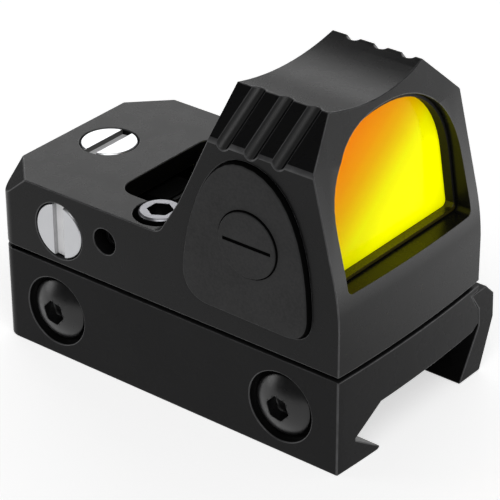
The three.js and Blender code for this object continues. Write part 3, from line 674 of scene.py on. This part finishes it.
def adjuster_profile(head, face, into, end):
    """Rows of an adjuster screw from its face inwards; into is the sign of that direction."""
    back = face + into * ADJUSTER["head"]
    chamfer, shaft = ADJUSTER["chamfer"], ADJUSTER["shaft"]
    start = back + into * 0.4
    first, last = start + into * 0.1, end - into * 0.2
    return [
        (0, face), (head - chamfer, face), (head, face + into * chamfer),
        (head, back), (shaft, back), (shaft, start),
        *thread_rows(shaft, first, last, ADJUSTER["pitch"], ADJUSTER["thread"]),
        (ADJUSTER["tip"], end), (0, end),
    ]


def paint_slot(screw, centre, axis, floor):
    """Second finish, a painted shade, on the slot's two walls; third, a painted light, on its floor."""
    half_width = ADJUSTER["slot"] / 2
    for polygon in screw.data.polygons:
        c = polygon.center - centre
        across, along = (c.x, c.y) if axis == "Y" else (c.x, c.z)
        flat = abs(polygon.normal.y if axis == "Y" else polygon.normal.z) > 0.9
        if flat and near(along, floor, 0.02) and abs(across) < half_width:
            polygon.material_index = 2
        elif not flat and near(abs(across), half_width, 0.02) and abs(polygon.normal.x) > 0.9:
            polygon.material_index = 1


def make_adjuster(node, axis, face, into, end, slot, finishes):
    """Slotted adjuster screw; the slot is the section of the tool that cuts it."""
    centre = screw_axis(node, axis)
    profile = adjuster_profile(head_radius(node), face, into, end)
    screw = lathe("finished_" + node, profile, axis, centre, 96, ADJUSTER["pitch"])
    floor = face + into * ADJUSTER["depth"]
    start, stop = sorted((floor, face - into * BEYOND))
    cut_away(screw, prism("slot", slot, axis, centre, start, stop))
    paint_slot(screw, centre, axis, floor)
    return settle_painted(screw, node, finishes, THIN_EDGE)


def make_windage_screw(finishes):
    """On the right-hand side, its slot upright."""
    low, high = box_mm("windage_screw")
    slot = bar(SLOT_REACH, ADJUSTER["slot"] / 2)
    return make_adjuster("windage_screw", "Y", low.y, 1, high.y, slot, finishes)


def make_elevation_screw(finishes):
    """On the deck, its slot across the sight."""
    low, high = box_mm("elevation_screw")
    slot = bar(ADJUSTER["slot"] / 2, SLOT_REACH)
    return make_adjuster("elevation_screw", "Z", high.z, -1, low.z, slot, finishes)


def make_lock_screw(finish):
    """Set screw at the bottom of the small hole in the right-hand side."""
    node = "lock_screw"
    low, high = box_mm(node)
    centre, radius = screw_axis(node, "Y"), head_radius(node)
    pitch = SET_SCREW["pitch"]
    profile = [
        (0, low.y), (radius - SET_SCREW["chamfer"], low.y),
        *thread_rows(radius, low.y + 0.2, high.y - 0.4, pitch, SET_SCREW["thread"]),
        (SET_SCREW["tip"], high.y), (0, high.y),
    ]
    screw = lathe("finished_" + node, profile, "Y", centre, 48, pitch)
    key = hexagon(SET_SCREW["hex"], 0)
    socket = prism("socket", key, "Y", centre, low.y - BEYOND, low.y + SET_SCREW["depth"])
    return settle(cut_away(screw, socket), node, [finish], edge=BOARD_EDGE)


# ------------------------------------------------------------------ buttons
def make_pad(node, finishes):
    """Rubber pad with a rounded outer edge; the wall round it is painted black, a painted shade."""
    low, high = box_mm(node)
    side = -1 if low.y < 0 else 1
    face = max(abs(low.y), abs(high.y))
    key = middle_mm(node.replace("pad", "key"))

    def from_key(point):
        return math.hypot(point.x - key.x, point.z - key.z)

    def width_of(edge):
        a, b = (vertex.co for vertex in edge.verts)
        on_face = near(side * a.y, face) and near(side * b.y, face)
        return PAD_EDGE if on_face and min(from_key(a), from_key(b)) > KEY_HOLE else FINE_EDGE

    piece = machined_copy(node)
    # painted shade: the pad's walls are made black
    paint_faces(piece, lambda polygon: abs(polygon.normal.y) < 0.5, 1)
    return settle_painted(piece, node, finishes, PAD_EDGE, width_of, 4)


def make_key(node, finishes):
    """Round key disc; the second finish, a painted shade, is on its wall and in its engraved mark."""
    low, high = box_mm(node)
    face = max(abs(low.y), abs(high.y))

    def in_shade(polygon):
        return abs(polygon.normal.y) < 0.5 or abs(polygon.center.y) < face - 0.05

    piece = machined_copy(node)
    # painted shade: the key's wall and its engraved mark are made black
    paint_faces(piece, in_shade, 1)
    return settle_painted(piece, node, finishes, FINE_EDGE)


# ------------------------------------------------------------------ camera, floor and lights
POOL_CENTRE = (115, 60, -5.76)  # where the table glows most, in front of the sight, in millimetres
POOL_EDGES = (35, 95)           # the glow fades between these distances from it
POOL_GLOW = (2.7, 0.62)         # strengths inside and outside

# soft lights: name, offset from the middle of the sight, width and height in metres, radiance
PANELS = [
    ("back_wall", (-0.7, 0.875, 0.59), (1.5, 0.36), 2.5),
    ("back_wall_foot", (-0.5, 1.08, 0.2), (0.9, 0.36), 0.5),
    ("left_wall", (0.95, 0.68, 0.16), (1.2, 0.34), 1.3),
    ("rear_strip", (-1.05, -0.65, 0.22), (0.5, 0.5), 2.5),
    ("key", (0.55, -0.6, 1.15), (1.15, 0.75), 2.5),
]
WORLD_STRENGTH = 0.08


def add_camera():
    """The photograph's view: right-hand side, front and top, from above."""
    azimuth, elevation, roll = (math.radians(angle) for angle in (38.52, 29.53, -0.17))
    place = Vector((0.14812, -0.18277, 0.14028))
    reach = math.cos(elevation)
    back = Vector((math.sin(azimuth) * reach, -math.cos(azimuth) * reach, math.sin(elevation)))
    level = Vector((math.cos(azimuth), math.sin(azimuth), 0))
    right = level * math.cos(roll) + back.cross(level) * math.sin(roll)
    up = back.cross(right)
    data = bpy.data.cameras.new("camera")
    data.lens = 180.3
    data.shift_x, data.shift_y = -0.0145, 0.0039
    data.clip_start, data.clip_end = 0.01, 20
    camera = bpy.data.objects.new("camera", data)
    camera.matrix_world = Matrix.Translation(place) @ Matrix((right, up, back)).transposed().to_4x4()
    bpy.context.scene.collection.objects.link(camera)
    bpy.context.scene.camera = camera


def add_floor():
    """Pale studio table, a little self-lit so that the shadow under the sight stays faint."""
    half = 3.0
    bm = bmesh.new()
    corners = [(-half, -half), (half, -half), (half, half), (-half, half)]
    bm.faces.new([bm.verts.new((x, y, CAD_LOW.z)) for x, y in corners])
    floor = to_piece(bm, "floor")
    shader = Shader("studio_table", (0.86, 0.86, 0.86), 0.9, Specular_IOR_Level=0.1)
    shader.set("Emission Color", (1, 1, 1, 1))
    place = shader.place(origin=POOL_CENTRE)
    from_pool = shader.node("VectorMath", {0: place}, operation="LENGTH").outputs["Value"]
    shader.feed("Emission Strength", shader.spread(from_pool, *POOL_GLOW, *POOL_EDGES))
    shader.bump(shader.noise(0.01, 2), 0.01)
    floor.data.materials.append(shader.material)


def add_panel(name, offset, size, radiance):
    """A soft rectangular light that faces the middle of the sight."""
    data = bpy.data.lights.new(name, "AREA")
    data.shape = "RECTANGLE"
    data.size, data.size_y = size
    data.energy = radiance * math.pi * size[0] * size[1]
    lamp = bpy.data.objects.new(name, data)
    middle = (CAD_LOW + CAD_HIGH) / 2
    place = middle + Vector(offset)
    turn = (place - middle).to_track_quat("Z", "Y").to_matrix().to_4x4()
    lamp.matrix_world = Matrix.Translation(place) @ turn
    bpy.context.scene.collection.objects.link(lamp)


def add_lights():
    """Bright walls behind and to the left, a strip behind on the right, a high key and a weak world."""
    for panel in PANELS:
        add_panel(*panel)
    world = bpy.data.worlds.new("studio")
    world.use_nodes = True
    background = world.node_tree.nodes["Background"]
    background.inputs["Color"].default_value = (1, 1, 1, 1)
    background.inputs["Strength"].default_value = WORLD_STRENGTH
    bpy.context.scene.world = world


# ------------------------------------------------------------------ build
add_camera()
add_floor()
add_lights()
bpy.context.scene.view_settings.view_transform = "Standard"

body_dark, body_light = (0.005, 0.005, 0.0052), (0.0065, 0.0065, 0.0068)
housing_black = anodised("housing_black", body_dark, body_light, 0.14)
facet_black = anodised("facet_black", body_dark, body_light, 0.01)
front_black = anodised("front_black", body_dark, body_light, 0.115, rise=(0.29, *HOOD_BEND))
groove_black = anodised("groove_black", (0.008, 0.008, 0.0082), (0.01, 0.01, 0.0102), 0.55, (0.4, 0.45))
mount_black = anodised("mount_black", (0.0155, 0.0155, 0.0158), (0.0175, 0.0175, 0.0178), 0.04)
# painted shade: darker copy of the mount's anodising for the rail's channel and the jaw's inner face
channel_painted_shade = anodised("channel_painted_shade", (0.003, 0.003, 0.003), (0.0045, 0.0045, 0.0045), 0.03)
edge_black = worn_edge("edge_black", (0.028, 0.028, 0.029), (0.06, 0.06, 0.062))
# painted shade: a near-black, almost unlit finish for recesses and hollows
painted_shade_black = moulded(
    "painted_shade_black", (0.001, 0.001, 0.001), (0.002, 0.002, 0.002), 0.7, Specular_IOR_Level=0.1)
screw_black = black_oxide("screw_black")
pad_rubber = rubber("pad_rubber", (0.014, 0.014, 0.0143), (0.019, 0.019, 0.0195))
# painted shade: black rubber for the pads' and keys' walls
painted_shade_rubber = moulded(
    "painted_shade_rubber", (0.0008, 0.0008, 0.0008), (0.0016, 0.0016, 0.0016), 0.8, Specular_IOR_Level=0.05)
seal_black = moulded("seal_black", (0.002, 0.002, 0.002), (0.004, 0.004, 0.004), 0.6, Specular_IOR_Level=0.2)
# painted light: a bright white slot floor, lighter than the steel round it
slot_floor_painted_light = moulded("slot_floor_painted_light", (0.85, 0.85, 0.86), (0.93, 0.93, 0.94), 0.5)

make_housing([housing_black, edge_black, painted_shade_black, groove_black, facet_black, front_black])
make_mount([mount_black, edge_black, painted_shade_black, channel_painted_shade])
make_clamp_plate([mount_black, edge_black, channel_painted_shade])

for screw in ("clamp_screw_front", "clamp_screw_rear"):
    make_clamp_screw(screw, screw_black)
make_lock_screw(screw_black)
make_windage_screw([
    turned_steel(
        "windage_steel", (0.52, 0.525, 0.54), (0.5, 0.505, 0.52), middle_mm("windage_screw"), 0.3),
    # painted shade: the windage slot's walls darker than its steel
    moulded("windage_slot_wall_painted_shade", (0.36, 0.36, 0.37), (0.44, 0.44, 0.45), 0.5),
    slot_floor_painted_light,
])
make_elevation_screw([
    turned_steel(
        "elevation_steel", (0.8, 0.81, 0.82), (0.77, 0.78, 0.79), middle_mm("elevation_screw"), 0.3, "Z"),
    # painted shade: the elevation slot's walls darker than its steel
    moulded("elevation_slot_wall_painted_shade", (0.08, 0.08, 0.08), (0.12, 0.12, 0.12), 0.5),
    slot_floor_painted_light,
])
for screw in ("mounting_screw_right", "mounting_screw_left"):
    steel = turned_steel(screw + "_steel", (0.31, 0.31, 0.33), (0.28, 0.28, 0.3), middle_mm(screw), 0.35, "Z")
    make_sight_screw(screw, [steel, painted_shade_black])

for side in ("minus", "plus"):
    make_pad(side + "_button_pad", [pad_rubber, painted_shade_rubber])
    make_key(side + "_button_key", [pad_rubber, painted_shade_rubber])

make_plain("lens_front_element", coated_glass("lens_coating_painted_glow"), THIN_EDGE)
make_plain("lens_rear_element", clear_glass("lens_glass"), THIN_EDGE)
make_lens_frame([
    moulded("lens_bead", (0.012, 0.011, 0.004), (0.018, 0.016, 0.005), 0.25, Specular_IOR_Level=0.45),
    # painted light: lighter olive-brown for the sill's end face
    moulded("lens_bead_end_painted_light", (0.045, 0.036, 0.002), (0.055, 0.044, 0.002), 0.6, Specular_IOR_Level=0.1),
    seal_black,
])

origin = (0, 0, 0)
pin_steel = turned_steel("pin_steel", (0.5, 0.5, 0.52), (0.42, 0.42, 0.44), origin, 0.35, "Z")
cell_steel = turned_steel("cell_steel", (0.6, 0.6, 0.61), (0.52, 0.52, 0.53), origin, 0.28, "Z")
board_resin = circuit_board_resin("board_resin")
black_polymer = moulded("black_polymer", (0.006, 0.006, 0.006), (0.012, 0.012, 0.012), 0.5)
flex_film = moulded("flex_film", (0.32, 0.12, 0.02), (0.42, 0.17, 0.035), 0.35)
led_window = moulded("led_window", (0.4, 0.01, 0.005), (0.55, 0.02, 0.01), 0.15)
contact_brass = brass("brass")

# pieces of one finish: the finish, the rounding of its edges and the nodes
plain_pieces = [
    (seal_black, BOARD_EDGE, ["sealing_plate", "windage_screw_seal", "elevation_screw_seal"]),
    (pin_steel, THIN_EDGE, ["recoil_pin_right", "recoil_pin_left", "minus_switch_dome", "plus_switch_dome"]),
    # painted shade: the inner blocks are made near black
    (painted_shade_black, FINE_EDGE, ["windage_block", "emitter_carriage"]),
    (contact_brass, THIN_EDGE, ["battery_spring_contact", "battery_side_contact"]),
    (board_resin, BOARD_EDGE, ["led_board", "circuit_board"]),
    (black_polymer, BOARD_EDGE, ["emitter_aperture", "control_chip"]),
    (flex_film, FILM_EDGE, ["minus_switch_flex", "plus_switch_flex"]),
    (led_window, FILM_EDGE, ["led_emitter"]),
    (cell_steel, BATTERY_EDGE, ["battery"]),
]
for finish, rounding, nodes in plain_pieces:
    for node in nodes:
        make_plain(node, finish, rounding)
